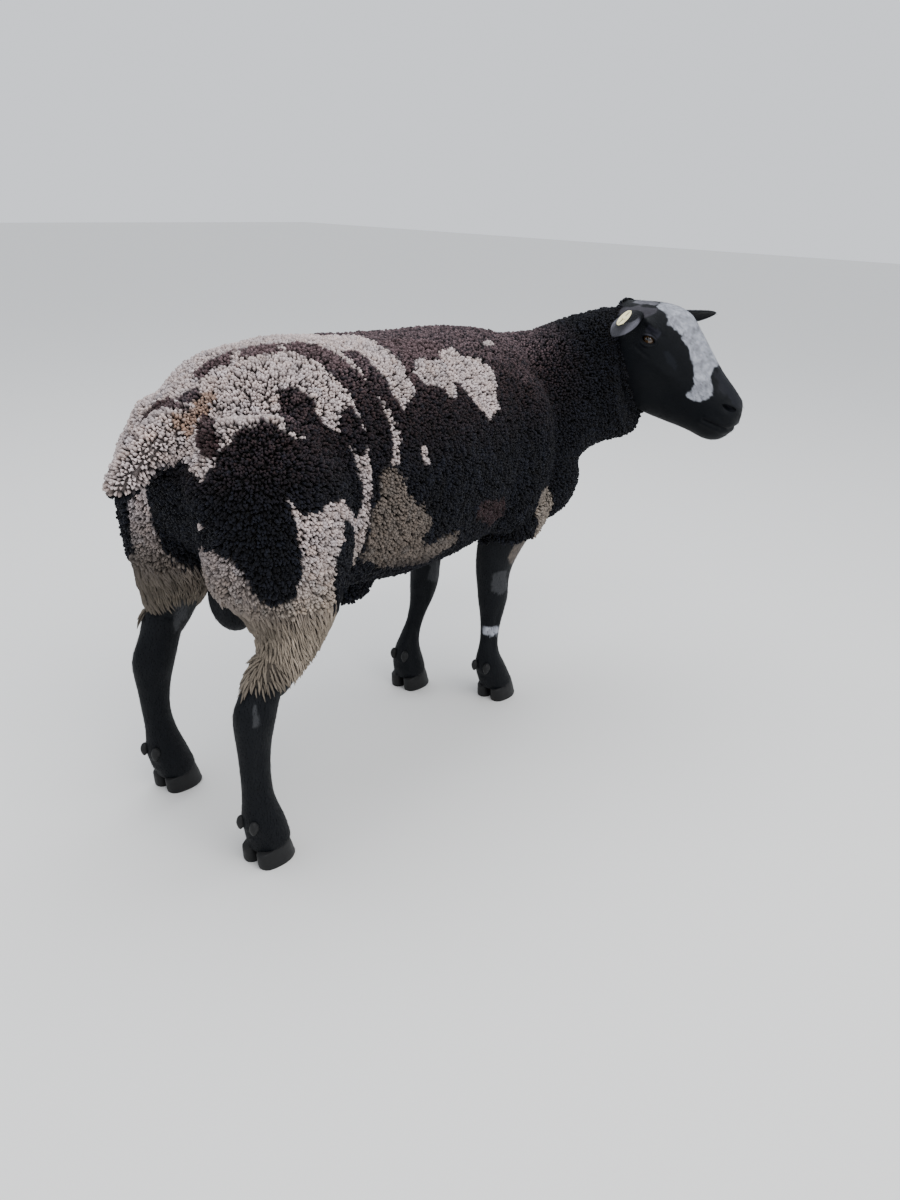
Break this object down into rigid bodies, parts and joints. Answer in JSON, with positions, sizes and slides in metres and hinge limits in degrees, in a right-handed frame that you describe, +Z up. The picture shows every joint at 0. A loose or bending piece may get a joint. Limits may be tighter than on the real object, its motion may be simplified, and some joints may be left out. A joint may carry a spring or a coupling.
{
  "type": "dutch spotted sheep",
  "caption": "Life-size still model of a black and cream spotted ram, standing square and looking back over its right side, with a tag in its right ear.",
  "frame": {"origin": "on the floor, under the middle of the whole model's box", "axes": "+X towards the ram's chest, +Y to its left side, +Z up; the head is turned to -Y"},
  "size_m": [1.3121, 0.6615, 0.8378],
  "materials": {
    "dark_wool": "matte",
    "pale_wool": "matte",
    "dark_hair": "satin",
    "hoof": "satin",
    "eye": "gloss",
    "tag": "satin"
  },
  "bodies": {
    "root": {"torso": "dark_wool", "neck": "dark_wool", "tail": "pale_wool", "thigh_right": "pale_wool", "thigh_left": "pale_wool", "head": "dark_hair", "ear_right": "dark_hair", "ear_left": "dark_hair", "foreleg_right": "dark_hair", "foreleg_left": "dark_hair", "shank_right": "dark_hair", "shank_left": "dark_hair", "scrotum": "dark_hair", "sheath": "dark_hair", "eye_right": "eye", "eye_left": "eye", "ear_tag": "tag", "claw_hind_right_left": "hoof", "claw_hind_right_right": "hoof", "claw_hind_left_left": "hoof", "claw_hind_left_right": "hoof", "claw_fore_right_left": "hoof", "claw_fore_right_right": "hoof", "claw_fore_left_left": "hoof", "claw_fore_left_right": "hoof", "dew_claw_hind_right_left": "hoof", "dew_claw_hind_right_right": "hoof", "dew_claw_hind_left_left": "hoof", "dew_claw_hind_left_right": "hoof", "dew_claw_fore_right_left": "hoof", "dew_claw_fore_right_right": "hoof", "dew_claw_fore_left_left": "hoof", "dew_claw_fore_left_right": "hoof"}
  },
  "joints": []
}
